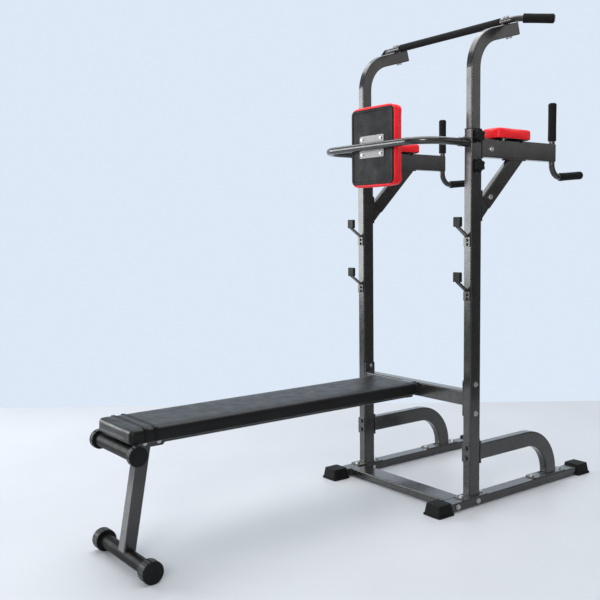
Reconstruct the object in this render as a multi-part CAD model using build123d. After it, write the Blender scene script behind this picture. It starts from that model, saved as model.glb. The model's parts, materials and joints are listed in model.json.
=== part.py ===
from build123d import *
import os
from math import cos, radians, sin

# Power tower with a hinged bench. Every size is in millimetres, +Z is up, X runs across the
# tower and the dip arms point to +Y. Pieces are drawn with Y = 0 in the plane of the uprights
# and are moved along Y once, on export, so that the origin is the middle of the footprint.

# Whole object
half_track = 320.0            # middle plane to the centre of each upright
upright_y = 330.0             # plane of the uprights, from the middle of the footprint

# Stock
wall = 2.0                    # wall of every steel tube
plate = 5.0                   # thickness of flanges and base plates
tube_corner = 5.0
bolt_radius = 4.0
hole_gap = 0.3

# Base
beam_width = 60.0
beam_bottom = 6.0
beam_top = 38.0
beam_front = -226.0
beam_rear = 758.0
beam_bolt_z = 22.0
foot_length = 90.0
foot_width = 92.0
foot_overhang = 10.0          # rubber beyond the end of the beam
foot_top = 48.0
foot_rim = 7.0
foot_slope = 9.0              # how far each side of a foot leans in
cross_beam_depth = 90.0
cross_beam_height = 30.0
cross_beam_y = -81.0
cross_bolt_y = (-112.0, 9.0)

# Uprights and the sliding upper frame
upright_width = 40.0          # across the tower
upright_depth = 60.0          # front to back
upright_top = 1524.0
base_plate_length = 150.0
base_bolt_y = 58.0
collar_depth = 18.0
upper_width = 32.0            # inner tube, across the tower
upper_depth = 52.0
upper_tail_z = 1240.0         # lower end of the inner tube
upper_corner_z = 1876.0       # where the two centre lines of the inner tube meet
upper_bend = 150.0
upper_rise = 15.7             # degrees above level
upper_end_length = 265.0
knob_z = (1381.0, 1497.0)
height_step = 58.0            # spacing of the height holes
height_holes = 5

# Rear supports
support_depth = 66.0          # in the plane of the bend
support_width = 38.0
support_z = 220.0
support_y = 510.0
support_flange_y = 497.0
support_bend = 167.0
support_flange_length = 224.0
support_bolt_y = 97.0
support_bolt_z = 20.0

# Seat crossbar and bench
crossbar_z = 444.0
crossbar_height = 60.0
crossbar_depth = 50.0
crossbar_flange_height = 150.0
crossbar_bolt_z = 60.0
pivot_y = -60.0
pivot_z = 457.0
pivot_radius = 5.0
pivot_gap = 0.06
cheek_inside = 26.5
cheek_thickness = 5.0
rail_width = 50.0
rail_bottom = 410.0
rail_top = 447.0
head_half_depth = 18.0
head_top = 478.0
pad_half_width = 132.0
pad_head = -108.0
pad_foot = -1420.0
pad_top = 497.0
board_thickness = 12.0
roller_y = -1404.0
roller_z = 415.0
roller_radius = 24.0
roller_half_length = 154.0
roller_cap_radius = 34.0
roller_cap_length = 19.0      # keeps the caps clear of the pad
ground_y = -1384.0
ground_radius = 25.0
ground_half_length = 195.0
ground_cap_radius = 39.0
ground_cap_length = 34.0
ground_z = ground_cap_radius  # the caps stand on the floor
leg_top_y = -1315.0
leg_depth = 45.0
leg_bolts = ((-1318.0, 420.0), (-1265.0, 420.0))

# Dip arms
arm_width = 40.0
arm_bottom = 1416.0
arm_top = 1492.0
arm_bolt_y = 87.0
arm_bolt_z = 1449.0
socket_length = 100.0
socket_gap = 0.2              # each side, between a socket and the tube over it
handle_radius = 12.5
handle_y = 510.0
handle_top = 1664.0
handle_corner_z = 1349.0
handle_rise = 4.5             # degrees above level, lower grip
handle_length = 209.0
handle_bend = 54.0
grip_radius = 17.5
brace_width = 24.0
brace_depth = 65.0
brace_slope = 43.6            # degrees above level
brace_end_y = 258.0           # where the brace's centre line meets the arm
brace_bolt_run = 228.0        # from that point down to the brace's bolt
brace_cut = 32.0              # from the bolt down to the brace's lower end
brace_bracket_z = (1162.0, 1285.0)
elbow_front = 99.0
elbow_rear = 312.0
elbow_half_width = 50.0
elbow_bottom = 1495.0
elbow_top = 1538.0
elbow_bracket_y = (146.0, 280.0)

# Backrest
back_bar_radius = 15.0
back_bar_z = 1472.0
back_bar_x = 318.0
back_bar_y = -268.0
back_bar_bend = 105.0
sleeve_radius = 18.0
sleeve_front = -80.0
back_half_width = 131.0
back_half_height = 165.0
back_face = -193.0
back_board_y = -250.0

# Pull-up bar
pull_radius = 12.5
pull_y = 196.0
pull_corner_x = 374.0         # where the bar's centre lines meet
pull_bend = 80.0
pull_end_direction = Vector(0.862, 0.493, -0.120)
pull_end_length = 143.0
pull_grip_start = 25.0
pull_grip_radius = 18.5
center_foam_half = 292.0
center_foam_radius = 16.5
pull_bolt_x = (-9.0, 9.0)

# Bar hooks
hook_y = -88.0
hook_base_z = {"upper": 1061.0, "lower": 843.0}
hook_thickness = 6.0
hook_bolt_rise = (9.0, 26.0)

half_width = upright_width / 2
half_depth = upright_depth / 2
middle_of_arm = (arm_bottom + arm_top) / 2
ACROSS = Vector(1, 0, 0)
UP = Vector(0, 0, 1)

os.makedirs("parts", exist_ok=True)


def save(name, *shapes):
    """Write one node: its solids, moved so that the origin is the middle of the footprint."""
    solids = [solid for shape in shapes for solid in shape.solids()]
    node = solids[0] if len(solids) == 1 else Compound(children=solids)
    export_step(Pos(0, upright_y, 0) * node, f"parts/{name}.step")


def save_pair(name, shape):
    """Write a +X piece as the right node and its mirror image as the left node."""
    save(f"right_{name}", shape)
    save(f"left_{name}", mirror(shape, Plane.YZ))


def both_sides(shapes):
    """The given +X pieces together with their mirror images."""
    return shapes + [mirror(shape, Plane.YZ) for shape in shapes]


def flipped(point):
    """The point's mirror image across the middle plane."""
    return Vector(-point.X, point.Y, point.Z)


def block(x_range, y_range, z_range):
    """Box given by its limits along each axis."""
    ranges = (x_range, y_range, z_range)
    size = [high - low for low, high in ranges]
    middle = [(low + high) / 2 for low, high in ranges]
    return Pos(*middle) * Box(*size)


def around(middle, half):
    """Limits of a span given by its middle and half its length."""
    return (middle - half, middle + half)


def rod(start, end, radius):
    """Solid round bar between two points."""
    start = Vector(start)
    axis = Vector(end) - start
    return extrude(Plane(origin=start, z_dir=axis) * Circle(radius), axis.length)


def sleeve(start, end, outer_radius, inner_radius):
    """Round tube between two points."""
    start = Vector(start)
    axis = Vector(end) - start
    ring = Circle(outer_radius) - Circle(inner_radius)
    return extrude(Plane(origin=start, z_dir=axis) * ring, axis.length)


def round_tube(path, radius):
    """Hollow round tube along a path."""
    start = Plane(origin=path @ 0, z_dir=path % 0)
    return sweep(start * Circle(radius), path=path) - sweep(start * Circle(radius - wall), path=path)


def rect_tube(path, width, depth, x_dir=ACROSS, corner=tube_corner):
    """Hollow rectangular tube along a path; its width lies along x_dir."""
    start = Plane(origin=path @ 0, x_dir=x_dir, z_dir=path % 0)
    outside = start * RectangleRounded(width, depth, corner)
    inside = start * RectangleRounded(width - 2 * wall, depth - 2 * wall, corner - wall)
    if isinstance(path, Line):
        return extrude(outside - inside, path.length)
    return sweep(outside, path=path) - sweep(inside, path=path)


def plug(end, direction, outer_radius, inner_radius):
    """Plastic plug in the open end of a round tube."""
    end = Vector(end)
    cap = fillet(rod(end, end + direction * 4, outer_radius).edges().sort_by(Axis(end, direction))[-1], 2)
    return cap + rod(end, end - direction * 16, inner_radius - 0.1)


def bolt(point, out, grip, nut=True, head=9.0, shank=bolt_radius):
    """Hex bolt with a washer: its head sits on the surface at point and faces out."""
    point = Vector(point)
    far = point - out * grip
    pieces = rod(point, point + out * 1.6, head + 2)
    pieces += extrude(Plane(origin=point + out * 1.6, z_dir=out) * RegularPolygon(head, 6), 5)
    pieces += rod(far, point, shank)
    if nut:
        pieces += extrude(Plane(origin=far, z_dir=out * -1) * RegularPolygon(head, 6), 6.5)
    return pieces


def drill(shape, bolts):
    """Cut a clearance hole for each bolt given as (point, outward direction, grip)."""
    for point, out, grip in bolts:
        start = Vector(point) + out * 2
        shape -= rod(start, start - out * (grip + 4), bolt_radius + hole_gap)
    return shape


def ribbed_cap(tube_end, y, z, radius, length, tube_radius):
    """Plastic cap with lengthwise ribs over the +X end of a cross tube, with a pocket for it."""
    back = tube_end - length
    cap = fillet(rod((back, y, z), (tube_end + 5, y, z), radius).edges(), 3)
    for step in range(18):
        angle = radians(10 + 20 * step)
        groove_y = y + (radius + 0.8) * cos(angle)
        groove_z = z + (radius + 0.8) * sin(angle)
        cap -= rod((back - 1, groove_y, groove_z), (tube_end + 6, groove_y, groove_z), 2.6)
    return cap - rod((back - 1, y, z), (tube_end, y, z), tube_radius)


def cushion(x_range, y_range, z_range, thin_axis, face_index, corner, edge):
    """Upholstered block with rounded corners and one softened face."""
    pad = block(x_range, y_range, z_range)
    pad = fillet(pad.edges().filter_by(thin_axis), corner)
    return fillet(pad.edges().group_by(thin_axis)[face_index], edge)


# Bolts of the +X side, as (point on the outer surface, outward direction, grip)
outer_beam_x = half_track + beam_width / 2
inner_beam_x = half_track - beam_width / 2
plate_top = beam_top + plate

cross_bolts = [((outer_beam_x, y, beam_bolt_z), ACROSS, beam_width + plate) for y in cross_bolt_y]
base_bolts = [((half_track, y, plate_top), UP, 12) for y in (-base_bolt_y, base_bolt_y)]
support_base_bolts = [
    ((half_track, support_flange_y + y, plate_top), UP, 12) for y in (-support_bolt_y, support_bolt_y)
]
support_upright_bolts = [
    ((half_track, -half_depth - plate, support_z + z), Vector(0, -1, 0), upright_depth + 2 * plate)
    for z in (-support_bolt_z, support_bolt_z)
]
crossbar_bolts = [
    ((half_track + half_width, 0, crossbar_z + z), ACROSS, upright_width + plate)
    for z in (-crossbar_bolt_z, crossbar_bolt_z)
]
arm_bolts = [((half_track + arm_width / 2, arm_bolt_y, arm_bolt_z), ACROSS, 14)]
brace_direction = Vector(0, cos(radians(brace_slope)), sin(radians(brace_slope)))
brace_end = Vector(half_track, brace_end_y, arm_bottom)
brace_joint = brace_end - brace_direction * brace_bolt_run
brace_bolts = [(brace_joint + ACROSS * (brace_width / 2), ACROSS, 14)]
hook_bolts = [
    ((half_track, -half_depth - hook_thickness, base_z + rise), Vector(0, -1, 0), 14)
    for base_z in hook_base_z.values()
    for rise in hook_bolt_rise
]
elbow_bolts = [
    ((half_track + x, y, arm_top), UP * -1, 13) for x in (-30, 30) for y in elbow_bracket_y
]

# Floor beams, feet and front cross beam
beam_z = (beam_bottom + beam_top) / 2
beam_path = Line((half_track, beam_front, beam_z), (half_track, beam_rear, beam_z))
floor_beam = rect_tube(beam_path, beam_width, beam_top - beam_bottom, corner=4)
save_pair("floor_beam", drill(floor_beam, cross_bolts + base_bolts + support_base_bolts))

for end_name, end_y, outward in (("front", beam_front, -1), ("rear", beam_rear, 1)):
    middle_y = end_y + outward * (foot_overhang - foot_length / 2)
    centre = Pos(half_track, middle_y, 0)
    rim = centre * extrude(RectangleRounded(foot_width, foot_length, 8), foot_rim)
    low_outline = Pos(0, 0, foot_rim) * RectangleRounded(foot_width - 6, foot_length - 6, 8)
    high_outline = Pos(0, 0, foot_top) * RectangleRounded(
        foot_width - 2 * foot_slope, foot_length - 2 * foot_slope, 8
    )
    boot = rim + centre * loft([low_outline, high_outline])
    boot = fillet(boot.edges().group_by(Axis.Z)[-1], 4)
    pocket_y = sorted((end_y, end_y - outward * foot_length))
    pocket = block((inner_beam_x, outer_beam_x), pocket_y, (beam_bottom, beam_top))
    save_pair(f"{end_name}_foot", boot - pocket)

cross_reach = inner_beam_x - plate
cross_z = beam_top - cross_beam_height / 2
cross_path = Line((-cross_reach, cross_beam_y, cross_z), (cross_reach, cross_beam_y, cross_z))
cross_beam = rect_tube(cross_path, cross_beam_depth, cross_beam_height, x_dir=Vector(0, 1, 0), corner=4)
cross_flange = block((cross_reach, inner_beam_x), (-132, 28), around(cross_z, cross_beam_height / 2))
cross_flange = drill(cross_flange, cross_bolts)
save("front_cross_beam", cross_beam + cross_flange + mirror(cross_flange, Plane.YZ))

# Uprights with their base plates and the threaded bosses of the lock knobs
upright = rect_tube(
    Line((half_track, 0, plate_top), (half_track, 0, upright_top)), upright_width, upright_depth
)
base_plate = block(
    (inner_beam_x, outer_beam_x), around(0, base_plate_length / 2), (beam_top, plate_top)
)
upright += fillet(base_plate.edges().filter_by(Axis.Z), 8)
outer_upright_x = half_track + half_width
for z in knob_z:
    upright += rod((outer_upright_x, 0, z), (outer_upright_x + 6, 0, z), 10)
    upright -= rod((outer_upright_x - wall - 1, 0, z), (outer_upright_x + 7, 0, z), 5.5)

# The arm's socket, the brace's bracket and the sleeve of the backrest bar are welded to the upright
support_face = half_depth + plate
arm_socket = block(
    around(half_track, 22), (half_depth, support_face), around(middle_of_arm, 44)
)
arm_socket += rect_tube(
    Line((half_track, support_face, middle_of_arm), (half_track, support_face + socket_length, middle_of_arm)),
    arm_width - 2 * wall - 2 * socket_gap,
    arm_top - arm_bottom - 2 * wall - 2 * socket_gap,
    corner=tube_corner - wall,
)

# The brace's bracket is a pair of cheeks that fit inside the brace, on a plate
brace_up = Vector(0, -brace_direction.Z, brace_direction.Y)
bracket_half = brace_depth / 2 - tube_corner    # clears the brace's rounded inner corners
bracket_outline = Polyline(
    (half_track, support_face, brace_bracket_z[0]),
    (half_track, support_face, brace_bracket_z[1]),
    brace_joint - brace_direction * (brace_cut + 1) + brace_up * (brace_depth / 2 + 2),
    brace_joint - brace_direction * (brace_cut + 1) + brace_up * bracket_half,
    brace_joint + brace_direction * 30 + brace_up * bracket_half,
    brace_joint + brace_direction * 30 - brace_up * bracket_half,
    brace_joint - brace_direction * brace_cut - brace_up * bracket_half,
    close=True,
)
cheek_face = brace_width / 2 - wall - socket_gap
brace_bracket = extrude(make_face(bracket_outline), cheek_face, dir=ACROSS, both=True)
brace_bracket -= block(around(half_track, cheek_face - 3), (support_face, 300), (1100, arm_bottom))
brace_bracket += block(around(half_track, 20), (half_depth, support_face), brace_bracket_z)

bar_sleeve = sleeve(
    (back_bar_x, sleeve_front, back_bar_z), (back_bar_x, -half_depth, back_bar_z),
    sleeve_radius, back_bar_radius,
)
screw_y = (sleeve_front - half_depth) / 2
sleeve_screw_hole = rod(
    (back_bar_x, screw_y, back_bar_z), (back_bar_x, screw_y, back_bar_z + 30), 2.5 + hole_gap
)
upright += arm_socket + brace_bracket + (bar_sleeve - sleeve_screw_hole)
upright_bolts = base_bolts + support_upright_bolts + crossbar_bolts + hook_bolts + arm_bolts + brace_bolts
save_pair("upright", drill(upright, upright_bolts))

collar_lip = RectangleRounded(upright_width + 2, upright_depth + 2, 6)
collar_lip = extrude(Pos(half_track, 0, upright_top) * collar_lip, 3)
collar_liner = RectangleRounded(upright_width - 4.2, upright_depth - 4.2, 2.9)
collar_liner = extrude(Pos(half_track, 0, upright_top - collar_depth) * collar_liner, collar_depth)
collar_mouth = RectangleRounded(upper_width + 1, upper_depth + 1, 4)
collar_mouth = extrude(Pos(half_track, 0, upright_top - collar_depth - 1) * collar_mouth, collar_depth + 6)
save("upright_collars", *both_sides([collar_lip + collar_liner - collar_mouth]))

# Curved rear supports
support_path = FilletPolyline(
    (half_track, support_face, support_z),
    (half_track, support_y, support_z),
    (half_track, support_y, plate_top),
    radius=support_bend,
)
rear_support = rect_tube(support_path, support_width, support_depth)
top_flange = block(
    around(half_track, 22), (half_depth, support_face), around(support_z, support_depth / 2 + 14)
)
floor_flange = block(
    around(half_track, 28), around(support_flange_y, support_flange_length / 2), (beam_top, plate_top)
)
floor_flange = fillet(floor_flange.edges().filter_by(Axis.Z), 10)
rear_support += drill(top_flange, support_upright_bolts)
rear_support += drill(floor_flange, support_base_bolts)
save_pair("rear_support", rear_support)

backing_plate = block(
    around(half_track, 20), (-half_depth - plate, -half_depth), around(support_z, 38)
)
backing_plate = fillet(backing_plate.edges().filter_by(Axis.Y), 8)
save("support_backing_plates", *both_sides([drill(backing_plate, support_upright_bolts)]))

# Seat crossbar and the fork that holds the bench
crossbar_reach = half_track - half_width - plate
crossbar_path = Line((-crossbar_reach, 0, crossbar_z), (crossbar_reach, 0, crossbar_z))
crossbar = rect_tube(crossbar_path, crossbar_depth, crossbar_height, x_dir=Vector(0, 1, 0))
crossbar_flange = block(
    (crossbar_reach, crossbar_reach + plate),
    around(0, half_depth - 2),
    around(crossbar_z, crossbar_flange_height / 2),
)
crossbar_flange = drill(fillet(crossbar_flange.edges().filter_by(Axis.X), 8), crossbar_bolts)
save("seat_crossbar", crossbar + crossbar_flange + mirror(crossbar_flange, Plane.YZ))

crossbar_front = -crossbar_depth / 2
cheek_outside = cheek_inside + cheek_thickness
fork = block((-38, 38), (crossbar_front - plate, crossbar_front), around(crossbar_z, 28))
cheek = block((cheek_inside, cheek_outside), (pivot_y - 24, crossbar_front - plate), (419, head_top))
cheek = fillet(cheek.edges().filter_by(Axis.X).sort_by(Axis.Y)[:2], 16)
fork += cheek + mirror(cheek, Plane.YZ)
pivot_line = ((-60, pivot_y, pivot_z), (60, pivot_y, pivot_z))
save("bench_bracket", fork - rod(*pivot_line, pivot_radius))

# Bench: frame
rail_mid_z = (rail_bottom + rail_top) / 2
rail_path = Line((0, roller_y, rail_mid_z), (0, pivot_y + head_half_depth, rail_mid_z))
rail = rect_tube(rail_path, rail_width, rail_top - rail_bottom)
rail += block(
    around(0, rail_width / 2), around(pivot_y, head_half_depth), (rail_bottom, head_top)
)
rail -= rod((-200, roller_y, roller_z), (200, roller_y, roller_z), roller_radius)
rail -= rod(*pivot_line, pivot_radius + pivot_gap)

leg_top = Vector(0, leg_top_y, rail_bottom)
leg_foot = Vector(0, ground_y, ground_z)
leg = rect_tube(Line(leg_foot, leg_top + (leg_top - leg_foot) * 0.1), rail_width, leg_depth)
leg -= block((-60, 60), around(leg_top_y, 90), (rail_bottom, rail_bottom + 90))
leg -= rod((-60, ground_y, ground_z), (60, ground_y, ground_z), ground_radius)

# Two cheeks on the leg's top hold the rail between them
cheek_reach = rail_width / 2 + 4
leg_cheek = block((rail_width / 2, cheek_reach), (-1345, -1243), (rail_bottom - 6, rail_bottom + 24))
leg_cheek = fillet(leg_cheek.edges().filter_by(Axis.X), 11)
bench_bolts = [((cheek_reach, y, z), ACROSS, 2 * cheek_reach) for y, z in leg_bolts]
leg += leg_cheek + mirror(leg_cheek, Plane.YZ)
save("bench_rail", drill(rail, bench_bolts))
save("bench_leg", drill(leg, bench_bolts))


bench_caps = []
for name, half, y, z, radius, cap_radius, cap_length in (
    ("top", roller_half_length, roller_y, roller_z, roller_radius, roller_cap_radius, roller_cap_length),
    ("floor", ground_half_length, ground_y, ground_z, ground_radius, ground_cap_radius, ground_cap_length),
):
    save(f"bench_{name}_tube", sleeve((-half, y, z), (half, y, z), radius, radius - wall))
    bench_caps.append(ribbed_cap(half, y, z, cap_radius, cap_length, radius))
save("bench_tube_caps", *both_sides(bench_caps))

# Bench: pivot bolt, leg bolts and upholstery
pivot_bolt = rod((-cheek_outside - 8, pivot_y, pivot_z), (cheek_outside, pivot_y, pivot_z), pivot_radius)
for side, length in ((1, 6), (-1, 8)):
    hexagon = Plane(origin=(side * cheek_outside, pivot_y, pivot_z), z_dir=ACROSS * side)
    pivot_bolt += extrude(hexagon * RegularPolygon(10, 6), length)
save("bench_pivot_bolt", pivot_bolt)
save("bench_leg_bolts", *[bolt(*placed, head=6.5, shank=4) for placed in bench_bolts])

board_top = rail_top + board_thickness
bench_board = block(
    around(0, pad_half_width - 8), (pad_foot + 8, pad_head - 8), (rail_top, board_top)
)
bench_board = fillet(bench_board.edges().filter_by(Axis.Z), 20)
bench_cushion = cushion(
    around(0, pad_half_width), (pad_foot, pad_head), (rail_top, pad_top), Axis.Z, -1, 20, 12
)
save("bench_board", bench_board)
save("bench_cushion", bench_cushion - bench_board)

# Dip arms
arm = rect_tube(
    Line((half_track, support_face, middle_of_arm), (half_track, handle_y, middle_of_arm)),
    arm_width,
    arm_top - arm_bottom,
)
arm += block(
    around(half_track, arm_width / 2 - 2), (handle_y - 4, handle_y), (arm_bottom + 2, arm_top - 2)
)
handle_axis = ((half_track, handle_y, 0), (half_track, handle_y, 2000))
arm -= rod(*handle_axis, handle_radius)
save_pair("dip_arm", drill(arm, arm_bolts))

# Braces under the arms
brace_path = Line(brace_joint - brace_direction * brace_cut, brace_end + brace_direction * 90)
brace = rect_tube(brace_path, brace_width, brace_depth)
brace -= block((0, 600), (0, 500), (arm_bottom - plate, arm_bottom + 200))
brace += block(
    around(half_track, 17), around(brace_end_y - plate, 56), (arm_bottom - plate, arm_bottom)
)
save_pair("arm_brace", drill(brace, brace_bolts))

# Elbow pads
elbow_middle_x = around(half_track, elbow_half_width)
elbow_board = block(
    around(half_track, elbow_half_width - 6),
    (elbow_front + 6, elbow_rear - 6),
    (elbow_bottom, elbow_bottom + board_thickness),
)
elbow_board = fillet(elbow_board.edges().filter_by(Axis.Z), 16)
elbow_cushion = cushion(
    elbow_middle_x, (elbow_front, elbow_rear), (elbow_bottom, elbow_top), Axis.Z, -1, 22, 10
)
elbow_strips = [
    block(around(half_track, 40), around(y, 13), (arm_top, elbow_bottom)) for y in elbow_bracket_y
]
elbow_strips = [drill(strip, elbow_bolts) for strip in elbow_strips]
save_pair("elbow_cushion", elbow_cushion - elbow_board)
save("elbow_boards", *both_sides([drill(elbow_board, elbow_bolts)]))
save("elbow_pad_brackets", *both_sides(elbow_strips))

# Dip handles: upright grip above the arm, nearly level grip below it
low_direction = Vector(0, cos(radians(handle_rise)), sin(radians(handle_rise)))
handle_corner = Vector(half_track, handle_y, handle_corner_z)
handle_end = handle_corner + low_direction * handle_length
handle_start = Vector(half_track, handle_y, handle_top)
handle_path = FilletPolyline(handle_start, handle_corner, handle_end, radius=handle_bend)
save_pair("dip_handle", round_tube(handle_path, handle_radius))
upright_grip = sleeve(handle_start - UP * 158, handle_start, grip_radius, handle_radius)
lower_grip = sleeve(handle_end - low_direction * 150, handle_end, grip_radius, handle_radius)
save("upright_grips", *both_sides([upright_grip]))
save("lower_grips", *both_sides([lower_grip]))
save("handle_end_plugs", *both_sides([
    plug(handle_start, UP, 14.5, handle_radius - wall),
    plug(handle_end, low_direction, 14.5, handle_radius - wall),
]))

# Backrest: bent bar, plate, board and cushion
back_bar_path = FilletPolyline(
    (-back_bar_x, -half_depth - 1, back_bar_z),
    (-back_bar_x, back_bar_y, back_bar_z),
    (back_bar_x, back_bar_y, back_bar_z),
    (back_bar_x, -half_depth - 1, back_bar_z),
    radius=back_bar_bend,
)
back_bar = round_tube(back_bar_path, back_bar_radius)
save("backrest_bar", back_bar - sleeve_screw_hole - mirror(sleeve_screw_hole, Plane.YZ))

back_plate_y = back_bar_y + back_bar_radius
back_screw_places = [(x, z) for x in (-56, 56) for z in (-31, 31)]
back_screw_holes = [
    rod((x, back_plate_y - 5, back_bar_z + z), (x, back_board_y + 10, back_bar_z + z), 3 + hole_gap)
    for x, z in back_screw_places
]
back_plate = block(around(0, 72), (back_plate_y, back_board_y), around(back_bar_z, 45))
back_plate = fillet(back_plate.edges().filter_by(Axis.Y), 6)
back_board = block(
    around(0, back_half_width - 6),
    (back_board_y, back_board_y + board_thickness),
    around(back_bar_z, back_half_height - 11),
)
back_board = fillet(back_board.edges().filter_by(Axis.Y), 20)
back_cushion = cushion(
    around(0, back_half_width),
    (back_board_y + 2, back_face),
    around(back_bar_z, back_half_height),
    Axis.Y,
    -1,
    28,
    12,
)
save("backrest_cushion", back_cushion - back_board)
for hole in back_screw_holes:
    back_plate -= hole
    back_board -= hole
save("backrest_plate", back_plate)
save("backrest_board", back_board)

# Bar hooks: bent strip on a base plate, with a plastic cap over the lip
hook_caps = []
for level, base_z in hook_base_z.items():
    back_y = -half_depth - hook_thickness / 2
    strip_path = FilletPolyline(
        (half_track, back_y, base_z + 20),
        (half_track, back_y, base_z + 40),
        (half_track, hook_y, base_z + 79),
        (half_track, hook_y, base_z + 115),
        radius=8,
    )
    strip_start = Plane(origin=strip_path @ 0, x_dir=ACROSS, z_dir=strip_path % 0)
    hook = sweep(strip_start * Rectangle(18, hook_thickness), path=strip_path)
    base = block(
        around(half_track, 16), (-half_depth - hook_thickness, -half_depth), (base_z, base_z + 40)
    )
    hook += fillet(base.edges().filter_by(Axis.Y), 5)
    cap = block(around(half_track, 19), around(hook_y, 7), (base_z + 79, base_z + 118))
    cap = fillet(cap.edges(), 3)
    hook_caps.append(cap - hook)
    save_pair(f"{level}_hook", drill(hook, hook_bolts))
save("hook_caps", *both_sides(hook_caps))

# Upper frame: bent inner tubes that slide in the uprights
upper_direction = Vector(0, cos(radians(upper_rise)), sin(radians(upper_rise)))
upper_normal = Vector(0, -sin(radians(upper_rise)), cos(radians(upper_rise)))
upper_corner = Vector(half_track, 0, upper_corner_z)
upper_end = upper_corner + upper_direction * upper_end_length
upper_path = FilletPolyline(
    Vector(half_track, 0, upper_tail_z), upper_corner, upper_end, radius=upper_bend
)
upper_tube = rect_tube(upper_path, upper_width, upper_depth)
for step in range(height_holes):
    hole_z = knob_z[-1] - step * height_step
    upper_tube -= rod((half_track, 0, hole_z), (half_track + upper_width, 0, hole_z), 5)

pull_lift = upper_depth / 2 + pull_radius
pull_line_run = (pull_y + sin(radians(upper_rise)) * pull_lift) / upper_direction.Y
pull_center = upper_corner + upper_direction * pull_line_run + upper_normal * pull_lift
pull_z = pull_center.Z
pull_bolts = [
    (pull_center + ACROSS * x + upper_normal * pull_radius, upper_normal, 2 * pull_radius + upper_depth)
    for x in pull_bolt_x
]
save_pair("upper_tube", drill(upper_tube, pull_bolts))

upper_plug_face = Plane(origin=upper_end, x_dir=ACROSS, z_dir=upper_direction)
upper_plug = extrude(upper_plug_face * RectangleRounded(upper_width, upper_depth, tube_corner), 4)
upper_plug = fillet(upper_plug.faces().sort_by(Axis(upper_end, upper_direction))[-1].edges(), 2)
upper_plug += extrude(upper_plug_face * RectangleRounded(upper_width - 4.2, upper_depth - 4.2, 2.9), -20)

# Pull-up bar with its three grips
pull_corner = Vector(pull_corner_x, pull_y, pull_z)
pull_tip = pull_corner + pull_end_direction * pull_end_length
pull_path = FilletPolyline(
    flipped(pull_tip), flipped(pull_corner), pull_corner, pull_tip, radius=pull_bend
)
pull_bar = round_tube(pull_path, pull_radius)
pull_bar = drill(pull_bar, pull_bolts + [(flipped(point), out, grip) for point, out, grip in pull_bolts])
save("pull_up_bar", pull_bar)
foam_end = Vector(center_foam_half, pull_y, pull_z)
save("pull_bar_center_grip", sleeve(flipped(foam_end), foam_end, center_foam_radius, pull_radius))
pull_grip = sleeve(
    pull_corner + pull_end_direction * pull_grip_start, pull_tip, pull_grip_radius, pull_radius
)
save("pull_bar_end_grips", *both_sides([pull_grip]))
pull_plug = plug(pull_tip, pull_end_direction, 15, pull_radius - wall)
save("upper_end_plugs", *both_sides([upper_plug, pull_plug]))
save("pull_bar_bolts", *both_sides([bolt(*placed, head=6, shank=4) for placed in pull_bolts]))

# Lock knobs: lobed head on a threaded stem
for level, z in zip(("lower", "upper"), knob_z):
    seat = outer_upright_x + 6.5
    outline = Circle(22)
    for location in PolarLocations(20, 6):
        outline += location * Circle(7)
    knob_plane = Plane(origin=(seat + 1, 0, z), z_dir=ACROSS)
    knob = fillet(extrude(knob_plane * outline, 14).faces().sort_by(Axis.X)[-1].edges(), 3)
    knob += rod((seat, 0, z), (seat + 1, 0, z), 13)
    knob += rod((half_track + upper_width / 2 + 1, 0, z), (seat, 0, z), 5)
    save_pair(f"{level}_lock_knob", knob)

# Bolts and screws of the frame
through_bolts = cross_bolts + crossbar_bolts
short_bolts = base_bolts + support_base_bolts + arm_bolts + brace_bolts
frame_bolts = [bolt(*placed) for placed in through_bolts]
frame_bolts += [bolt(*placed, nut=False) for placed in short_bolts]
save("frame_bolts", *both_sides(frame_bolts))
painted_bolts = [bolt(*placed, nut=False, head=5.5, shank=3.5) for placed in hook_bolts]
painted_bolts += [bolt(*placed) for placed in support_upright_bolts]
save("painted_bolts", *both_sides(painted_bolts))

frame_screws = [bolt(*placed, nut=False, head=6.5, shank=3.5) for placed in elbow_bolts]
sleeve_top = (back_bar_x, screw_y, back_bar_z + sleeve_radius)
frame_screws.append(bolt(sleeve_top, UP, 8, nut=False, head=4, shank=2.5))
back_screws = [
    bolt((x, back_plate_y, back_bar_z + z), Vector(0, -1, 0), 10, nut=False, head=3.5, shank=3)
    for x, z in back_screw_places
]
save("frame_screws", *both_sides(frame_screws), *back_screws)
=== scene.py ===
import json
import math

import bmesh
import bpy
import numpy as np
from mathutils import Matrix, Vector, noise


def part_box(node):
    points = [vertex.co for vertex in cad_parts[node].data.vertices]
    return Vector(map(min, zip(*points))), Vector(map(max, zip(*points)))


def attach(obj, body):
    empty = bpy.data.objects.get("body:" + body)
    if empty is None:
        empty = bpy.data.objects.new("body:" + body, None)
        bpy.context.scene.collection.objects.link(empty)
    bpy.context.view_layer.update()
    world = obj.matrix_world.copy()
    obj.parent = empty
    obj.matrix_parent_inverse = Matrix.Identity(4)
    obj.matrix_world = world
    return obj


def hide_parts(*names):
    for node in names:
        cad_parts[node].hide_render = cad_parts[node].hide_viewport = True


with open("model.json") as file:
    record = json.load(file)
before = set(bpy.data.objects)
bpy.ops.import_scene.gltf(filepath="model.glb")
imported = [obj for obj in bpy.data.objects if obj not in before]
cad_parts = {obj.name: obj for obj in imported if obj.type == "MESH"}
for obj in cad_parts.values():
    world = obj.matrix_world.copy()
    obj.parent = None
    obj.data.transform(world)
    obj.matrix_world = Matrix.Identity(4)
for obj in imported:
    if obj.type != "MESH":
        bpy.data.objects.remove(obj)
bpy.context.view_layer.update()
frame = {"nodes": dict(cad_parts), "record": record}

# Every length is in metres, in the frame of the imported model: Z up, the bench toward -Y.

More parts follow.
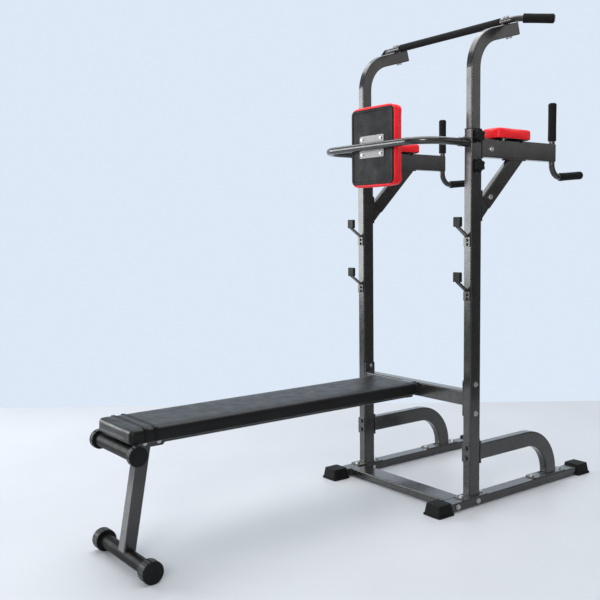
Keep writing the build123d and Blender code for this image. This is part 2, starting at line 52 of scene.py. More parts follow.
# Camera: where it stands, which way it looks, and its lens
CAMERA_PLACE = Vector((2.533, -2.2153, 1.1324))
CAMERA_AZIMUTH = math.radians(52.886)
CAMERA_PITCH = math.radians(4.822)
CAMERA_ROLL = math.radians(-0.683)
CAMERA_LENS = 49.3

# The studio is bright behind the tower, softer behind the camera and dim to either side
BACKDROP_DIRECTION = (-0.797, 0.603, 0.0)
FLOOR_SIZE = 9.0                     # along the view
FLOOR_WIDTH = 5.6
FLOOR_REACH = 5.3                    # from under the camera to the floor's far edge

# Noise textures stay mostly between these values
NOISE_LOW, NOISE_HIGH = 0.3, 0.7

# Rounding that the materials give to sharp edges
PAINTED_EDGE = 0.0010
FINE_EDGE = 0.0006

# Foam grips
BAR_BORE = 0.0126                    # radius of the hole, over the bar inside it
FOAM_ROLL = 0.0018                   # rounding of the sleeve's ends
FOAM_WAIST = 0.0005                  # how far hands have compressed the middle
FOAM_UNEVENNESS = 0.006              # of the radius
FOAM_RING_POINTS = 48
FOAM_RING_SPACING = 0.012

# Upholstery
CLOTH_PRESSURE = 4.0
CLOTH_FRAMES = 20
BACK_HEM_WIDTH = 0.013
BACK_HEM_HEIGHT = 0.0014
BACK_HEM_CORNER = 0.020
BACK_HEM_INNER_CORNER = 0.006
BACK_HEM_PUCKER = 0.25               # of its height
BENCH_CHANNELS = (0.059, 0.096)      # from the foot end of the bench cushion
CHANNEL_DEPTH = 0.0030
CHANNEL_SIDE_DEPTH = 0.8 * CHANNEL_DEPTH
CHANNEL_HALF_WIDTH = 0.0058
CHANNEL_REACH = 0.012                # a channel fades out this far below the top and in from the side
CHANNEL_BOTTOM = 0.010               # and begins to fade this far above the board
TAPE_WIDTH = 0.0108                  # tape sewn along each channel
TAPE_THICKNESS = 0.0022
TAPE_CORNER = 0.006
TAPE_BOTTOM = 0.004                  # end of the tape above the board

# Weld beads: each loop runs just outside the half width and half depth of its tube
WELD_RADIUS = 0.0026
WELD_PITCH = 0.0042                  # from one ripple to the next
WELD_RIPPLE = 0.16                   # of the radius
WELD_UNEVENNESS = 0.15
WELD_SECTION_POINTS = 8
POINTS_PER_RIPPLE = 4
PLATE = 0.005                        # thickness of the flanges the tubes are welded to
TUBE_CORNER = 0.005
UPRIGHT_LOOP = (0.0205, 0.0305)
CROSSBAR_LOOP = (0.0255, 0.0305)
SUPPORT_LOOP = (0.0195, 0.0335)
SLEEVE_LOOP = 0.0185                 # radius
SLEEVE_INSET = 0.015                 # middle of a sleeve from the end of the backrest bar
SUPPORT_FOOT_INSET = 0.112           # middle of the support's leg from its rear end
SUPPORT_TOP_DROP = 0.047             # middle of the support's level run from its highest point

X, Y, Z = Vector((1, 0, 0)), Vector((0, 1, 0)), Vector((0, 0, 1))


# ---------------------------------------------------------------- node helpers

def new_material(name):
    """An empty node material with a Principled shader; returns it with its nodes, links and shader."""
    material = bpy.data.materials.new(name)
    material.use_nodes = True
    tree = material.node_tree
    shader = tree.nodes["Principled BSDF"]
    return material, tree.nodes, tree.links, shader


def object_coordinates(nodes):
    return nodes.new("ShaderNodeTexCoord").outputs["Object"]


def noise_texture(nodes, links, vector, scale, detail):
    texture = nodes.new("ShaderNodeTexNoise")
    texture.inputs["Scale"].default_value = scale
    texture.inputs["Detail"].default_value = detail
    links.new(vector, texture.inputs["Vector"])
    return texture.outputs["Fac"]


def cell_texture(nodes, links, vector, scale, feature="F1"):
    texture = nodes.new("ShaderNodeTexVoronoi")
    texture.feature = feature
    texture.inputs["Scale"].default_value = scale
    links.new(vector, texture.inputs["Vector"])
    return texture.outputs["Distance"]


def ramp(nodes, links, value, stops):
    """Colour ramp through (position, colour) stops."""
    node = nodes.new("ShaderNodeValToRGB")
    elements = node.color_ramp.elements
    while len(elements) < len(stops):
        elements.new(0.5)
    for element, (position, colour) in zip(elements, stops):
        element.position = position
        element.color = (*colour, 1.0)
    links.new(value, node.inputs["Fac"])
    return node.outputs["Color"]


def rescale(nodes, links, value, low, high, from_low, from_high):
    node = nodes.new("ShaderNodeMapRange")
    node.inputs["From Min"].default_value = from_low
    node.inputs["From Max"].default_value = from_high
    node.inputs["To Min"].default_value = low
    node.inputs["To Max"].default_value = high
    links.new(value, node.inputs["Value"])
    return node.outputs["Result"]


def bump(nodes, links, height, distance, strength, normal=None):
    node = nodes.new("ShaderNodeBump")
    node.inputs["Distance"].default_value = distance
    node.inputs["Strength"].default_value = strength
    links.new(height, node.inputs["Height"])
    if normal is not None:
        links.new(normal, node.inputs["Normal"])
    return node.outputs["Normal"]


def soft_edges(nodes, radius):
    """Normals that round the sharp edges of a piece by a small radius."""
    node = nodes.new("ShaderNodeBevel")
    node.samples = 6
    node.inputs["Radius"].default_value = radius
    return node.outputs["Normal"]


def add(nodes, links, a, b, factor):
    """a + b * factor"""
    node = nodes.new("ShaderNodeMath")
    node.operation = "MULTIPLY_ADD"
    node.inputs[1].default_value = factor
    links.new(b, node.inputs[0])
    links.new(a, node.inputs[2])
    return node.outputs["Value"]


# ---------------------------------------------------------------- materials

def paint_coat(name, colours, metallic, roughness, coat, gloss):
    """Sprayed or powder coat: fine flake, orange peel and faint handling marks."""
    material, nodes, links, shader = new_material(name)
    place = object_coordinates(nodes)
    flake = cell_texture(nodes, links, place, scale=2600)
    cloud = noise_texture(nodes, links, place, scale=9, detail=2)
    tint = add(nodes, links, cloud, flake, 0.08)
    dark, middle, light = colours
    colour = ramp(nodes, links, tint, ((0.25, dark), (0.60, middle), (0.95, light)))
    links.new(colour, shader.inputs["Base Color"])
    shader.inputs["Metallic"].default_value = metallic
    marks = noise_texture(nodes, links, place, scale=30, detail=2)
    low, high = roughness
    links.new(rescale(nodes, links, marks, low, high, NOISE_LOW, NOISE_HIGH), shader.inputs["Roughness"])
    shader.inputs["Specular IOR Level"].default_value = gloss
    shader.inputs["Coat Weight"].default_value = coat
    shader.inputs["Coat Roughness"].default_value = 0.12
    peel = noise_texture(nodes, links, place, scale=170, detail=1)
    edges = soft_edges(nodes, PAINTED_EDGE)
    normal = bump(nodes, links, peel, distance=0.0001, strength=0.03, normal=edges)
    links.new(normal, shader.inputs["Normal"])
    return material


def vinyl(name, dark, light, roughness, grain_scale, crease_strength, gloss):
    """Upholstery vinyl: pebbled grain, soft large creases and uneven sheen."""
    material, nodes, links, shader = new_material(name)
    place = object_coordinates(nodes)
    cloud = noise_texture(nodes, links, place, scale=7, detail=3)
    grain = cell_texture(nodes, links, place, grain_scale, feature="SMOOTH_F1")
    fine = noise_texture(nodes, links, place, scale=1500, detail=2)
    colour = ramp(nodes, links, add(nodes, links, cloud, grain, 0.25), ((0.3, dark), (0.85, light)))
    links.new(colour, shader.inputs["Base Color"])
    shine = noise_texture(nodes, links, place, scale=22, detail=4)
    low, high = roughness
    links.new(rescale(nodes, links, shine, low, high, NOISE_LOW, NOISE_HIGH), shader.inputs["Roughness"])
    shader.inputs["Specular IOR Level"].default_value = gloss
    crease = noise_texture(nodes, links, place, scale=16, detail=3)
    soft = bump(nodes, links, crease, distance=0.004, strength=crease_strength)
    pebble_height = add(nodes, links, grain, fine, 0.4)
    pebble = bump(nodes, links, pebble_height, distance=0.0004, strength=0.35, normal=soft)
    links.new(pebble, shader.inputs["Normal"])
    return material


def foam():
    """Closed-cell foam: matt, mottled and finely pitted."""
    material, nodes, links, shader = new_material("black_foam")
    place = object_coordinates(nodes)
    pores = cell_texture(nodes, links, place, scale=1300)
    mottling = noise_texture(nodes, links, place, scale=60, detail=4)
    colour = ramp(nodes, links, add(nodes, links, mottling, pores, 0.3), (
        (0.3, (0.004, 0.004, 0.004)),
        (0.9, (0.011, 0.011, 0.012)),
    ))
    links.new(colour, shader.inputs["Base Color"])
    links.new(rescale(nodes, links, mottling, 0.62, 0.80, 0.0, 1.0), shader.inputs["Roughness"])
    shader.inputs["Specular IOR Level"].default_value = 0.12
    links.new(bump(nodes, links, pores, distance=0.0006, strength=0.5), shader.inputs["Normal"])
    return material


def moulded(name, dark, light, roughness, stipple, gloss):
    """Moulded plastic, rubber or dull paint with a fine stipple and slightly uneven shine."""
    material, nodes, links, shader = new_material(name)
    place = object_coordinates(nodes)
    shader.inputs["Specular IOR Level"].default_value = gloss
    grit = noise_texture(nodes, links, place, scale=stipple, detail=3)
    cloud = noise_texture(nodes, links, place, scale=30, detail=3)
    colour = ramp(nodes, links, cloud, ((NOISE_LOW, dark), (NOISE_HIGH, light)))
    links.new(colour, shader.inputs["Base Color"])
    low, high = roughness
    links.new(rescale(nodes, links, cloud, low, high, NOISE_LOW, NOISE_HIGH), shader.inputs["Roughness"])
    edges = soft_edges(nodes, FINE_EDGE)
    normal = bump(nodes, links, grit, distance=0.0004, strength=0.3, normal=edges)
    links.new(normal, shader.inputs["Normal"])
    return material


def zinc():
    """Bright zinc plate with fine drawn lines and dull patches."""
    material, nodes, links, shader = new_material("zinc_steel")
    place = object_coordinates(nodes)
    stretch = nodes.new("ShaderNodeMapping")
    stretch.inputs["Scale"].default_value = (1.0, 1.0, 12.0)
    links.new(place, stretch.inputs["Vector"])
    lines = noise_texture(nodes, links, stretch.outputs["Vector"], scale=260, detail=4)
    patches = noise_texture(nodes, links, place, scale=90, detail=3)
    colour = ramp(nodes, links, patches, ((0.3, (0.40, 0.40, 0.39)), (0.75, (0.62, 0.62, 0.60))))
    links.new(colour, shader.inputs["Base Color"])
    shader.inputs["Metallic"].default_value = 1.0
    links.new(rescale(nodes, links, lines, 0.24, 0.42, NOISE_LOW, NOISE_HIGH), shader.inputs["Roughness"])
    edges = soft_edges(nodes, FINE_EDGE)
    normal = bump(nodes, links, lines, distance=0.0002, strength=0.2, normal=edges)
    links.new(normal, shader.inputs["Normal"])
    return material


def pale_floor():
    """Plain pale floor, faintly clouded."""
    material, nodes, links, shader = new_material("floor")
    place = object_coordinates(nodes)
    cloud = noise_texture(nodes, links, place, scale=0.6, detail=3)
    colour = ramp(nodes, links, cloud, (
        (NOISE_LOW, (0.52, 0.54, 0.57)),
        (NOISE_HIGH, (0.58, 0.60, 0.63)),
    ))
    links.new(colour, shader.inputs["Base Color"])
    shader.inputs["Roughness"].default_value = 0.45
    return material


def grey(level):
    return (level, level, level)


MATERIALS = {
    "graphite_paint": paint_coat(
        "graphite_paint",
        colours=((0.030, 0.029, 0.028), (0.043, 0.042, 0.041), (0.060, 0.059, 0.058)),
        metallic=0.60, roughness=(0.19, 0.29), coat=0.45, gloss=0.5,
    ),
    "black_paint": paint_coat(
        "black_paint", colours=(grey(0.005), grey(0.008), grey(0.012)),
        metallic=0.0, roughness=(0.34, 0.46), coat=0.0, gloss=0.05,
    ),
    "red_vinyl": vinyl(
        "red_vinyl", dark=(0.76, 0.006, 0.012), light=(0.90, 0.013, 0.022),
        roughness=(0.40, 0.54), grain_scale=900, crease_strength=0.10, gloss=0.30,
    ),
    "black_vinyl": vinyl(
        "black_vinyl", dark=grey(0.004), light=grey(0.008),
        roughness=(0.30, 0.42), grain_scale=900, crease_strength=0.10, gloss=0.20,
    ),
    "black_board": vinyl(
        "black_board", dark=grey(0.004), light=grey(0.009),
        roughness=(0.44, 0.58), grain_scale=500, crease_strength=0.50, gloss=0.13,
    ),
    "black_foam": foam(),
    "black_rubber": moulded(
        "black_rubber", dark=grey(0.004), light=grey(0.009),
        roughness=(0.50, 0.70), stipple=900, gloss=0.13,
    ),
    "black_plastic": moulded(
        "black_plastic", dark=grey(0.004), light=grey(0.008),
        roughness=(0.34, 0.50), stipple=1400, gloss=0.16,
    ),
    "silver_paint": moulded(
        "silver_paint", dark=(0.26, 0.265, 0.27), light=(0.33, 0.335, 0.34),
        roughness=(0.40, 0.52), stipple=1800, gloss=0.4,
    ),
    "zinc_steel": zinc(),
}

slots = {part["node"]: part["material_slot"] for part in frame["record"]["subparts"]}
body_of = {
    node: body
    for body, members in frame["record"]["behaviour"]["bodies"].items()
    for node in members
}


def paint(piece, slot_name):
    piece.data.materials.clear()
    piece.data.materials.append(MATERIALS[slot_name])


# The CAD nodes that stay in sight get the detailed materials
for node_name, node in frame["nodes"].items():
    for material_slot in node.material_slots:
        material_slot.material = MATERIALS[slots[node_name]]


# ---------------------------------------------------------------- mesh helpers

def new_piece(name, mesh, slot_name, body):
    """Put a mesh in the scene as a piece that rides on a body."""
    piece = bpy.data.objects.new(name, mesh)
    bpy.context.scene.collection.objects.link(piece)
    paint(piece, slot_name)
    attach(piece, body)
    return piece


def mesh_from(name, vertices, faces, smooth=True):
    mesh = bpy.data.meshes.new(name)
    mesh.from_pydata([tuple(v) for v in vertices], [], faces)
    mesh.validate()
    if smooth:
        mesh.shade_smooth()
    return mesh


def ring_faces(rings, count, loop):
    """Quads between successive rings of `count` points; loop joins the last ring to the first."""
    faces = []
    for ring in range(rings if loop else rings - 1):
        following = (ring + 1) % rings
        for index in range(count):
            after = (index + 1) % count
            faces.append((
                ring * count + index, ring * count + after,
                following * count + after, following * count + index,
            ))
    return faces


def sides(node_name):
    """The vertices of a node, as one array for each side of the middle plane."""
    points = np.array([vertex.co for vertex in frame["nodes"][node_name].data.vertices])
    return {"left": points[points[:, 0] < 0], "right": points[points[:, 0] > 0]}


def long_axis(points):
    """Ends and outer radius of a round sleeve, from its vertices."""
    middle = (points.max(axis=0) + points.min(axis=0)) / 2
    direction = np.linalg.svd(points - points.mean(axis=0), full_matrices=False)[2][0]
    along = (points - middle) @ direction
    start = middle + direction * along.min()
    end = middle + direction * along.max()
    offset = points - middle - np.outer(along, direction)
    radius = np.linalg.norm(offset - offset.mean(axis=0), axis=1).max()
    return Vector(start), Vector(end), radius


# ---------------------------------------------------------------- foam grips

def foam_sleeve(name, start, end, radius, node_name):
    """Foam tube in a CAD grip's place, with rolled ends and a slight waist."""
    axis = end - start
    length = axis.length
    direction = axis.normalized()
    u = direction.orthogonal().normalized()
    v = direction.cross(u)
    profile = [(0.0, BAR_BORE), (0.0, radius - FOAM_ROLL)]
    for step in range(1, 6):
        angle = step / 5 * math.pi / 2
        rise = radius - FOAM_ROLL + FOAM_ROLL * math.sin(angle)
        profile.append((FOAM_ROLL * (1 - math.cos(angle)), rise))
    stretches = max(8, int(length / FOAM_RING_SPACING))
    for step in range(1, stretches):
        fraction = step / stretches
        waist = FOAM_WAIST * math.sin(math.pi * fraction)
        profile.append((FOAM_ROLL + (length - 2 * FOAM_ROLL) * fraction, radius - waist))
    profile += [(length - x, r) for x, r in profile[6::-1]]
    vertices = []
    for x, r in profile:
        for index in range(FOAM_RING_POINTS):
            angle = 2 * math.pi * index / FOAM_RING_POINTS
            bulge = noise.noise(Vector((x * 30, math.cos(angle), math.sin(angle))))
            wobble = 1 + FOAM_UNEVENNESS * bulge if r > BAR_BORE else 1
            out = (u * math.cos(angle) + v * math.sin(angle)) * r * wobble
            vertices.append(start + direction * x + out)
    faces = ring_faces(len(profile), FOAM_RING_POINTS, loop=True)
    grip = new_piece(name, mesh_from(name, vertices, faces), "black_foam", body_of[node_name])
    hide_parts(node_name)


def foam_grips():
    """Sleeves on the two upright grips, the two lower grips and the pull-up bar's ends and middle."""
    for node_name, names in (
        ("upright_grips", "{}_upright_foam"),
        ("lower_grips", "{}_lower_foam"),
        ("pull_bar_end_grips", "{}_pull_bar_foam"),
    ):
        for side, points in sides(node_name).items():
            start, end, radius = long_axis(points)
            foam_sleeve(names.format(side), start, end, radius, node_name)
    node_name = "pull_bar_center_grip"
    low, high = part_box(node_name)
    middle = (low + high) / 2
    start = Vector((low.x, middle.y, middle.z))
    end = Vector((high.x, middle.y, middle.z))
    foam_sleeve("pull_bar_center_foam", start, end, (high.z - low.z) / 2, node_name)


# ---------------------------------------------------------------- cushions

def rounded_block(name, low, high, thin, corner, edge):
    """Closed box with rounded corners round its thin axis and a rounded rim on its high, soft face."""
    mesh = bpy.data.meshes.new(name)
    build = bmesh.new()
    bmesh.ops.create_cube(build, size=1.0)
    size = high - low
    middle = (low + high) / 2
    for vertex in build.verts:
        vertex.co = Vector(vertex.co[i] * size[i] + middle[i] for i in range(3))
    upright_edges = [
        e for e in build.edges
        if abs(e.verts[0].co[thin] - e.verts[1].co[thin]) > size[thin] / 2
    ]
    bmesh.ops.bevel(
        build, geom=upright_edges, offset=corner, segments=8, profile=0.5, affect="EDGES"
    )
    rims = [
        e for e in build.edges
        if abs(e.verts[0].co[thin] - e.verts[1].co[thin]) < 1e-6
        and e.verts[0].co[thin] > middle[thin]
        and len({round(f.normal[thin], 2) for f in e.link_faces}) > 1
    ]
    bmesh.ops.bevel(build, geom=rims, offset=edge, segments=5, profile=0.5, affect="EDGES")
    build.to_mesh(mesh)
    build.free()
    return mesh


def apply_modifiers(piece):
    """Replace the piece's mesh by what its modifiers make of it."""
    evaluated = piece.evaluated_get(bpy.context.evaluated_depsgraph_get())
    mesh = bpy.data.meshes.new_from_object(evaluated)
    piece.modifiers.clear()
    piece.data = mesh


def vertex_array(mesh):
    points = np.zeros(len(mesh.vertices) * 3)
    mesh.vertices.foreach_get("co", points)
    return points.reshape(-1, 3)


def set_vertices(mesh, points):
    mesh.vertices.foreach_set("co", points.reshape(-1))
    mesh.update()


def inflate(piece, held, voxel, cap):
    """Swell a cushion by a short cloth simulation; held tells which points stay on the board."""
    remesh = piece.modifiers.new("remesh", "REMESH")
    remesh.mode = "VOXEL"
    remesh.voxel_size = voxel
    apply_modifiers(piece)
    before = vertex_array(piece.data)
    pinned = piece.vertex_groups.new(name="held")
    pinned.add([int(i) for i in np.nonzero(held(before))[0]], 1.0, "REPLACE")
    cloth = piece.modifiers.new("cloth", "CLOTH")
    settings = cloth.settings
    settings.quality = 6
    settings.mass = 0.25
    settings.tension_stiffness = 22
    settings.compression_stiffness = 22
    settings.shear_stiffness = 10
    settings.bending_stiffness = 1.2
    settings.use_pressure = True
    settings.uniform_pressure_force = CLOTH_PRESSURE
    settings.vertex_group_mass = "held"
    settings.effector_weights.gravity = 0.0
    cloth.collision_settings.use_collision = False
    cloth.point_cache.frame_start = 1
    cloth.point_cache.frame_end = CLOTH_FRAMES
    scene = bpy.context.scene
    for step in range(1, CLOTH_FRAMES + 1):
        scene.frame_set(step)
    apply_modifiers(piece)
    scene.frame_set(1)
    after = vertex_array(piece.data)
    move = after - before
    reach = np.linalg.norm(move, axis=1, keepdims=True)
    scale = cap * np.tanh(reach / cap) / np.maximum(reach, 1e-9)
    set_vertices(piece.data, before + move * scale)
    relax = piece.modifiers.new("relax", "SMOOTH")
    relax.factor = 0.5
    relax.iterations = 3
    finer = piece.modifiers.new("finer", "SUBSURF")
    finer.levels = 1
    finer.render_levels = 1
    apply_modifiers(piece)
    piece.data.shade_smooth()


def stretch_to(piece, low, high):
    """Scale the swollen form so that it fills the space between two corners."""
    points = vertex_array(piece.data)
    from_low, from_high = points.min(axis=0), points.max(axis=0)
    unit = (points - from_low) / (from_high - from_low)
    set_vertices(piece.data, np.array(low) + unit * (np.array(high) - np.array(low)))


def cushion(name, node_name, slot_name, thin, corner, edge, voxel, cap, shrink):
    """Cushion in the place of its CAD solid, on a board at the low side of its thin axis."""
    low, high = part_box(node_name)
    start_low, start_high = low.copy(), high.copy()
    for axis in range(3):
        start_high[axis] -= shrink
        if axis != thin:
            start_low[axis] += shrink
    mesh = rounded_block(name, start_low, start_high, thin, corner, edge)
    piece = new_piece(name, mesh, slot_name, body_of[node_name])
    inflate(piece, lambda points: points[:, thin] - start_low[thin] < voxel * 1.2, voxel, cap)
    stretch_to(piece, low, high)
    paint(piece, slot_name)
    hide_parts(node_name)
    return piece


def press_channel(piece, y):
    """Press a sewn channel across the bench cushion's top and down its sides."""
    build = bmesh.new()
    build.from_mesh(piece.data)
    for step in range(-4, 5):
        bmesh.ops.bisect_plane(
            build,
            geom=build.verts[:] + build.edges[:] + build.faces[:],
            plane_co=(0, y + step * CHANNEL_HALF_WIDTH / 2, 0),
            plane_no=Y,
        )
    build.to_mesh(piece.data)
    build.free()
    points = vertex_array(piece.data)
    low, high = points.min(axis=0), points.max(axis=0)
    fall = np.exp(-((points[:, 1] - y) / CHANNEL_HALF_WIDTH) ** 4)
    from_top = np.clip(1 - (high[2] - points[:, 2]) / CHANNEL_REACH, 0, 1)
    points[:, 2] -= CHANNEL_DEPTH * fall * from_top
    from_side = np.clip(1 - (high[0] - np.abs(points[:, 0])) / CHANNEL_REACH, 0, 1)
    above_board = np.clip((points[:, 2] - low[2]) / CHANNEL_BOTTOM, 0, 1)
    points[:, 0] -= np.sign(points[:, 0]) * CHANNEL_SIDE_DEPTH * fall * from_side * above_board
    set_vertices(piece.data, points)
    piece.data.shade_smooth()


def channel_tape(name, y):
    """Tape that fills a channel, over the bench cushion's top and down both its sides."""
    low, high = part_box("bench_cushion")
    half = high.x - CHANNEL_SIDE_DEPTH + TAPE_THICKNESS
    top = high.z - CHANNEL_DEPTH + TAPE_THICKNESS
    bottom = low.z + TAPE_BOTTOM
    outline = [(half, bottom)]
    for step in range(6):
        angle = step / 5 * math.pi / 2
        outline.append((
            half - TAPE_CORNER + TAPE_CORNER * math.cos(angle),
            top - TAPE_CORNER + TAPE_CORNER * math.sin(angle),
        ))
    outline += [(-x, z) for x, z in reversed(outline)]
    near, far = y - TAPE_WIDTH / 2, y + TAPE_WIDTH / 2
    vertices = []
    for x, z in outline:
        inner_x = x - math.copysign(TAPE_THICKNESS, x)
        inner_z = z - TAPE_THICKNESS if z > bottom else z
        vertices += [(x, near, z), (x, far, z), (inner_x, far, inner_z), (inner_x, near, inner_z)]
    faces = ring_faces(len(outline), 4, loop=False)
    last = (len(outline) - 1) * 4
    faces += [(3, 2, 1, 0), (last, last + 1, last + 2, last + 3)]
    mesh = mesh_from(name, vertices, faces, smooth=False)
    new_piece(name, mesh, "black_board", body_of["bench_cushion"])


def cushions():
    """The bench cushion with its sewn channels, the backrest and the two elbow pads."""
    bench = cushion(
        "bench_pad", "bench_cushion", "black_vinyl", thin=2,
        corner=0.018, edge=0.009, voxel=0.0055, cap=0.0025, shrink=0.0015,
    )
    foot_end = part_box("bench_cushion")[0].y
    for number, offset in enumerate(BENCH_CHANNELS, start=1):
        press_channel(bench, foot_end + offset)
        channel_tape(f"bench_tape_{number}", foot_end + offset)
    cushion(
        "backrest_pad", "backrest_cushion", "red_vinyl", thin=1,
        corner=0.026, edge=0.010, voxel=0.005, cap=0.0035, shrink=0.002,
    )
    for side in ("left", "right"):
        cushion(
            f"{side}_elbow_pad", f"{side}_elbow_cushion", "red_vinyl", thin=2,
            corner=0.018, edge=0.008, voxel=0.004, cap=0.003, shrink=0.0015,
        )


# ---------------------------------------------------------------- hem of the backrest's cover

def rectangle_loop(centre, u, v, half_u, half_v, corner):
    """Rounded rectangle round a centre, spanned by two unit directions."""
    points = []
    for sign_u, sign_v, turn in ((1, 1, 0), (-1, 1, 1), (-1, -1, 2), (1, -1, 3)):
        for step in range(5):
            angle = (turn + step / 4) * math.pi / 2
            x = sign_u * (half_u - corner) + corner * math.cos(angle)
            y = sign_v * (half_v - corner) + corner * math.sin(angle)
            points.append(centre + u * x + v * y)
    return points


def back_hem():
    """Turned-in edge of the cover, stapled round the back of the backrest's board."""
    low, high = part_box("backrest_board")
    middle = (low + high) / 2
    half_x, half_z = (high.x - low.x) / 2, (high.z - low.z) / 2
    profile = (
        (0.0, 0.0), (0.0004, 0.7), (0.0018, 1.0),
        (BACK_HEM_WIDTH - 0.002, 1.0), (BACK_HEM_WIDTH - 0.0005, 0.6), (BACK_HEM_WIDTH, 0.0),
    )
    vertices = []
    for inset, rise in profile:
        centre = Vector((middle.x, low.y - BACK_HEM_HEIGHT * rise, middle.z))
        corner = max(BACK_HEM_CORNER - inset, BACK_HEM_INNER_CORNER)
        loop = rectangle_loop(centre, X, Z, half_x - inset, half_z - inset, corner)
        for place in loop:
            pucker = BACK_HEM_PUCKER * noise.noise(place * 55)
            vertices.append(place - Y * BACK_HEM_HEIGHT * rise * pucker)
    faces = ring_faces(len(profile), len(loop), loop=True)
    new_piece("backrest_hem", mesh_from("backrest_hem", vertices, faces), "black_board", "tower")


# ---------------------------------------------------------------- welds

def weld(name, points):
    """Rippled weld bead along a closed loop of points."""
    closed = points + [points[0]]
    lengths = [(b - a).length for a, b in zip(closed, closed[1:])]
    total = sum(lengths)
    count = int(total / (WELD_PITCH / POINTS_PER_RIPPLE))
    centres = []
    segment, walked = 0, 0.0
    for index in range(count):
        target = total * index / count
        while walked + lengths[segment] < target:
            walked += lengths[segment]
            segment += 1
        fraction = (target - walked) / lengths[segment]
        centres.append(closed[segment].lerp(closed[segment + 1], fraction))
    middle = sum(points, Vector()) / len(points)
    normal = (points[0] - middle).cross(points[len(points) // 4] - middle).normalized()
    vertices = []
    for index, centre in enumerate(centres):
        tangent = (centres[(index + 1) % count] - centres[index - 1]).normalized()
        side = normal.cross(tangent)
        phase = 2 * math.pi * index / POINTS_PER_RIPPLE
        wobble = WELD_UNEVENNESS * noise.noise(centre * 90)
        radius = WELD_RADIUS * (1 + WELD_RIPPLE * math.cos(phase) + wobble)
        for corner in range(WELD_SECTION_POINTS):
            angle = 2 * math.pi * corner / WELD_SECTION_POINTS
            vertices.append(centre + (side * math.cos(angle) + normal * math.sin(angle)) * radius)
    faces = ring_faces(count, WELD_SECTION_POINTS, loop=True)
    new_piece(name, mesh_from(name, vertices, faces), "graphite_paint", "tower")


def circle_loop(centre, u, v, radius):
    steps = 32
    turns = [2 * math.pi * step / steps for step in range(steps)]
    return [centre + (u * math.cos(turn) + v * math.sin(turn)) * radius for turn in turns]


def welds():
    """Beads where the tubes meet their plates."""
    crossbar_low, crossbar_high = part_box("seat_crossbar")
    crossbar_middle = (crossbar_low + crossbar_high) / 2
    bar_low, bar_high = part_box("backrest_bar")
    upright_y = crossbar_middle.y
    for side, sign in (("left", -1), ("right", 1)):
        floor_low, floor_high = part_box(f"{side}_floor_beam")
        support_low, support_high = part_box(f"{side}_rear_support")
        upright_x = (floor_low.x + floor_high.x) / 2
        base_z = floor_high.z + PLATE
        crossbar_end = sign * (crossbar_high.x - PLATE)
        leg_y = support_high.y - SUPPORT_FOOT_INSET
        run_z = support_high.z - SUPPORT_TOP_DROP
        for joint, centre, u, v, half_sizes in (
            ("upright", (upright_x, upright_y, base_z), X, Y, UPRIGHT_LOOP),
            ("crossbar", (crossbar_end, upright_y, crossbar_middle.z), Y, Z, CROSSBAR_LOOP),
            ("support_foot", (upright_x, leg_y, base_z), X, Y, SUPPORT_LOOP),
            ("support_top", (upright_x, support_low.y + PLATE, run_z), X, Z, SUPPORT_LOOP),
        ):
            loop = rectangle_loop(Vector(centre), u, v, *half_sizes, TUBE_CORNER)
            weld(f"{side}_{joint}_weld", loop)
        sleeve = Vector((
            sign * (bar_high.x - SLEEVE_INSET), upright_y - UPRIGHT_LOOP[1], (bar_low.z + bar_high.z) / 2
        ))
        weld(f"{side}_sleeve_weld", circle_loop(sleeve, X, Z, SLEEVE_LOOP))


# ---------------------------------------------------------------- stage, lights and camera

def stage():
    """Pale floor, and a world that is brightest toward the backdrop."""
    away = Vector(BACKDROP_DIRECTION).normalized()
    middle = Vector((CAMERA_PLACE.x, CAMERA_PLACE.y, 0)) + away * (FLOOR_REACH - FLOOR_SIZE / 2)
    bpy.ops.mesh.primitive_plane_add(
        size=FLOOR_SIZE, location=middle, rotation=(0, 0, math.atan2(away.y, away.x))
    )
    floor = bpy.context.object
    floor.name = "floor"
    floor.scale.y = FLOOR_WIDTH / FLOOR_SIZE
    floor.data.materials.append(pale_floor())

    world = bpy.data.worlds.new("studio")
    bpy.context.scene.world = world
    world.use_nodes = True
    nodes, links = world.node_tree.nodes, world.node_tree.links
    toward_backdrop = nodes.new("ShaderNodeVectorMath")
    toward_backdrop.operation = "DOT_PRODUCT"
    toward_backdrop.inputs[1].default_value = BACKDROP_DIRECTION
    links.new(nodes.new("ShaderNodeTexCoord").outputs["Generated"], toward_backdrop.inputs[0])
    nearness = rescale(nodes, links, toward_backdrop.outputs["Value"], 0.0, 1.0, -1.0, 1.0)
    colour = ramp(nodes, links, nearness, (
        (0.22, (0.38, 0.40, 0.43)),
        (0.36, (0.085, 0.083, 0.082)),
        (0.46, (0.095, 0.094, 0.095)),
        (0.62, (0.26, 0.28, 0.31)),
        (0.80, (0.72, 0.81, 0.92)),
    ))
    links.new(colour, nodes["Background"].inputs["Color"])
    nodes["Background"].inputs["Strength"].default_value = 1.0


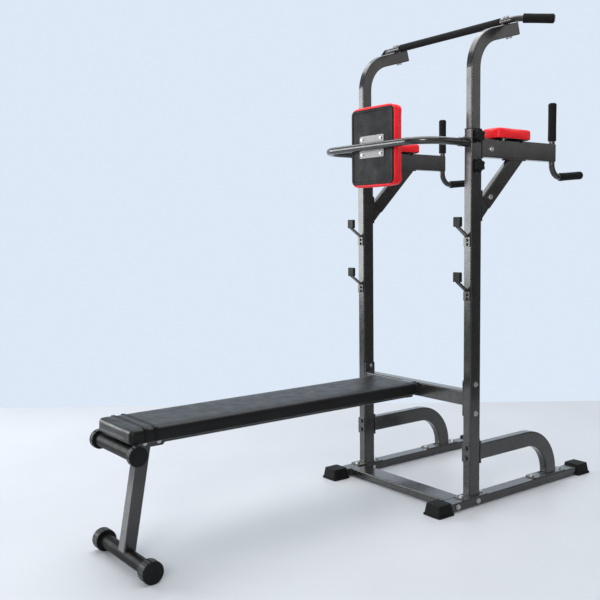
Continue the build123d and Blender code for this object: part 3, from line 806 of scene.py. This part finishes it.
def soft_light(name, place, target, size, power, colour=(1.0, 1.0, 1.0)):
    data = bpy.data.lights.new(name, "AREA")
    data.shape = "RECTANGLE"
    data.size, data.size_y = size
    data.energy = power
    data.color = colour
    light = bpy.data.objects.new(name, data)
    bpy.context.scene.collection.objects.link(light)
    light.location = place
    light.rotation_mode = "QUATERNION"
    light.rotation_quaternion = (Vector(target) - Vector(place)).to_track_quat("-Z", "Y")


def lights():
    soft_light(
        "window", place=(-4.6, -3.4, 1.8), target=(0, 0.2, 1.0), size=(3.6, 2.8), power=230,
        colour=(0.97, 0.99, 1.0),
    )
    soft_light(
        "camera_side", place=(3.6, -4.4, 2.8), target=(0, 0.1, 1.3), size=(2.0, 2.0), power=150,
        colour=(1.0, 0.98, 0.96),
    )
    soft_light("side_wall", place=(4.4, 4.2, 3.0), target=(0.2, 0, 1.5), size=(3.0, 2.2), power=19)
    soft_light("ceiling", place=(-0.4, 0.2, 4.4), target=(-0.2, 0, 0), size=(5.0, 5.0), power=210)


def camera():
    """Camera at the photograph's viewing angle, turned by azimuth, pitch and roll."""
    data = bpy.data.cameras.new("camera")
    data.sensor_width = 36.0
    data.lens = CAMERA_LENS
    data.clip_end = 60.0
    eye = bpy.data.objects.new("camera", data)
    bpy.context.scene.collection.objects.link(eye)
    back = Vector((
        math.sin(CAMERA_AZIMUTH) * math.cos(CAMERA_PITCH),
        -math.cos(CAMERA_AZIMUTH) * math.cos(CAMERA_PITCH),
        math.sin(CAMERA_PITCH),
    ))
    level_right = (-back).cross(Z).normalized()
    level_up = back.cross(level_right)
    right = level_right * math.cos(CAMERA_ROLL) + level_up * math.sin(CAMERA_ROLL)
    up = level_up * math.cos(CAMERA_ROLL) - level_right * math.sin(CAMERA_ROLL)
    rotation = Matrix((right, up, back)).transposed()
    eye.matrix_world = Matrix.Translation(CAMERA_PLACE) @ rotation.to_4x4()
    bpy.context.scene.camera = eye


camera()
stage()
lights()
foam_grips()
cushions()
back_hem()
welds()
bpy.context.scene.view_settings.view_transform = "Standard"
